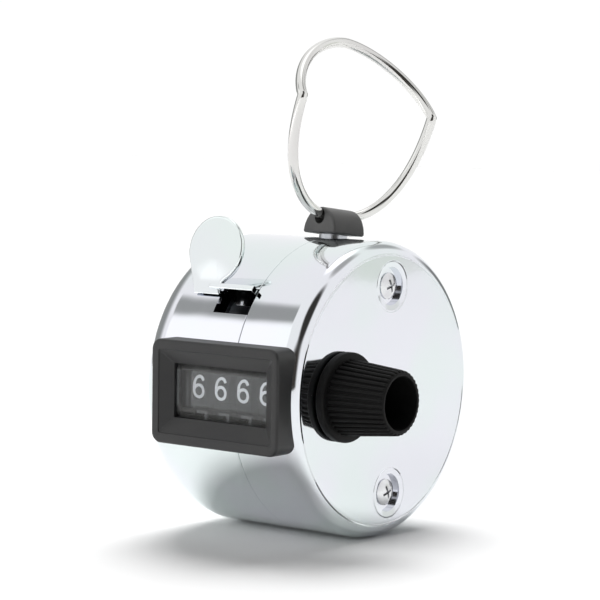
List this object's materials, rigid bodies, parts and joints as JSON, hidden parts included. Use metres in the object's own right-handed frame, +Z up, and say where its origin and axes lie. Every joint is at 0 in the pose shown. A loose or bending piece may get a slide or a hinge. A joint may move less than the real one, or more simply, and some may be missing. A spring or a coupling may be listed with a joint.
{
  "type": "hand tally counter",
  "caption": "Chromed drum-shaped hand tally counter with a thumb lever, number wheels behind a black-framed window, a ribbed reset knob and a folding finger ring.",
  "frame": {"origin": "centre of the drum's flat left end, on the drum's axis", "axes": "+X along the drum's axis toward the reset knob, -Y out of the window, +Z up toward the finger ring"},
  "size_m": [0.0415, 0.0474, 0.0757],
  "materials": {
    "chrome_shell": "polished chrome plate",
    "black_bezel": "satin black moulded plastic",
    "clear_lens": "clear moulded window",
    "frame_steel": "zinc-plated pressed steel",
    "plated_screw": "nickel-plated, lightly worn",
    "spring_steel": "drawn spring wire",
    "wheel_black": "black moulded number wheel",
    "gear_brass": "stamped brass",
    "pinion_nylon": "natural nylon",
    "chrome_lever": "polished chrome plate",
    "knob_plastic": "black moulded plastic with fine ribs",
    "block_plastic": "dark grey moulded plastic",
    "ring_wire": "bright plated wire"
  },
  "bodies": {
    "case": {"left_shell": "chrome_shell", "right_shell": "chrome_shell", "window_bezel": "black_bezel", "window_lens": "clear_lens", "left_frame_plate": "frame_steel", "right_frame_plate": "frame_steel", "frame_tie_front": "frame_steel", "frame_tie_rear": "frame_steel", "case_post_upper": "frame_steel", "case_post_lower": "frame_steel", "case_screw_upper": "plated_screw", "case_screw_lower": "plated_screw", "lever_pivot_pin": "frame_steel", "lever_return_spring": "spring_steel", "check_spring": "spring_steel", "pinion_shaft": "frame_steel", "swivel_bushing": "frame_steel"},
    "lever": {"thumb_lever": "chrome_lever", "pawl_rivet": "frame_steel"},
    "pawl": {"drive_pawl": "gear_brass"},
    "units": {"units_wheel": "wheel_black", "ratchet_wheel": "gear_brass"},
    "tens": {"tens_wheel": "wheel_black"},
    "hundreds": {"hundreds_wheel": "wheel_black"},
    "thousands": {"thousands_wheel": "wheel_black"},
    "pinion_thousands": {"thousands_pinion": "pinion_nylon"},
    "pinion_hundreds": {"hundreds_pinion": "pinion_nylon"},
    "pinion_tens": {"tens_pinion": "pinion_nylon"},
    "reset": {"reset_shaft": "frame_steel", "shaft_clip": "spring_steel", "reset_knob": "knob_plastic"},
    "swivel": {"ring_block": "block_plastic", "ring_stem": "frame_steel", "ring_retainer": "frame_steel"},
    "ring": {"finger_ring": "ring_wire"}
  },
  "joints": [
    {"name": "lever_press", "type": "hinge", "parent": "case", "child": "lever", "pos_m": [0.02, 0.001, -0.0008], "axis": [1, 0, 0], "range_deg": [0, 8], "stiffness_Nm_per_rad": 0.1, "springref_deg": -17.19},
    {"name": "pawl_lift", "type": "hinge", "parent": "lever", "child": "pawl", "pos_m": [0.02535, -0.0064, 0.0049], "axis": [1, 0, 0], "range_deg": [0, 12], "stiffness_Nm_per_rad": 0.002, "springref_deg": -5.73},
    {"name": "units_wheel_spin", "type": "hinge", "parent": "case", "child": "units", "pos_m": [0.02336, -0.0107, 0], "axis": [1, 0, 0], "continuous": true},
    {"name": "tens_wheel_spin", "type": "hinge", "parent": "case", "child": "tens", "pos_m": [0.01904, -0.0107, 0], "axis": [1, 0, 0], "continuous": true},
    {"name": "hundreds_wheel_spin", "type": "hinge", "parent": "case", "child": "hundreds", "pos_m": [0.01472, -0.0107, 0], "axis": [1, 0, 0], "continuous": true},
    {"name": "thousands_wheel_spin", "type": "hinge", "parent": "case", "child": "thousands", "pos_m": [0.0104, -0.0107, 0], "axis": [1, 0, 0], "continuous": true},
    {"name": "tens_pinion_spin", "type": "hinge", "parent": "case", "child": "pinion_tens", "pos_m": [0.0212, -0.00818, -0.00942], "axis": [1, 0, 0], "continuous": true},
    {"name": "hundreds_pinion_spin", "type": "hinge", "parent": "case", "child": "pinion_hundreds", "pos_m": [0.01688, -0.00818, -0.00942], "axis": [1, 0, 0], "continuous": true},
    {"name": "thousands_pinion_spin", "type": "hinge", "parent": "case", "child": "pinion_thousands", "pos_m": [0.01256, -0.00818, -0.00942], "axis": [1, 0, 0], "continuous": true},
    {"name": "reset_knob_turn", "type": "hinge", "parent": "case", "child": "reset", "pos_m": [0.031, -0.0107, 0], "axis": [1, 0, 0], "continuous": true},
    {"name": "ring_swivel", "type": "hinge", "parent": "case", "child": "swivel", "pos_m": [0.0178, 0.00313, 0.02228], "axis": [0, 0.1392, 0.9903], "continuous": true},
    {"name": "ring_fold", "type": "hinge", "parent": "swivel", "child": "ring", "pos_m": [0.0178, 0.00357, 0.0254], "axis": [0.2588, 0.9565, -0.1344], "range_deg": [-60, 67]}
  ],
  "couplings": [
    {"joint": "units_wheel_spin", "follows": "lever_press", "ratio": -4.5},
    {"joint": "tens_pinion_spin", "follows": "tens_wheel_spin", "ratio": -2.5},
    {"joint": "hundreds_pinion_spin", "follows": "hundreds_wheel_spin", "ratio": -2.5},
    {"joint": "thousands_pinion_spin", "follows": "thousands_wheel_spin", "ratio": -2.5}
  ]
}
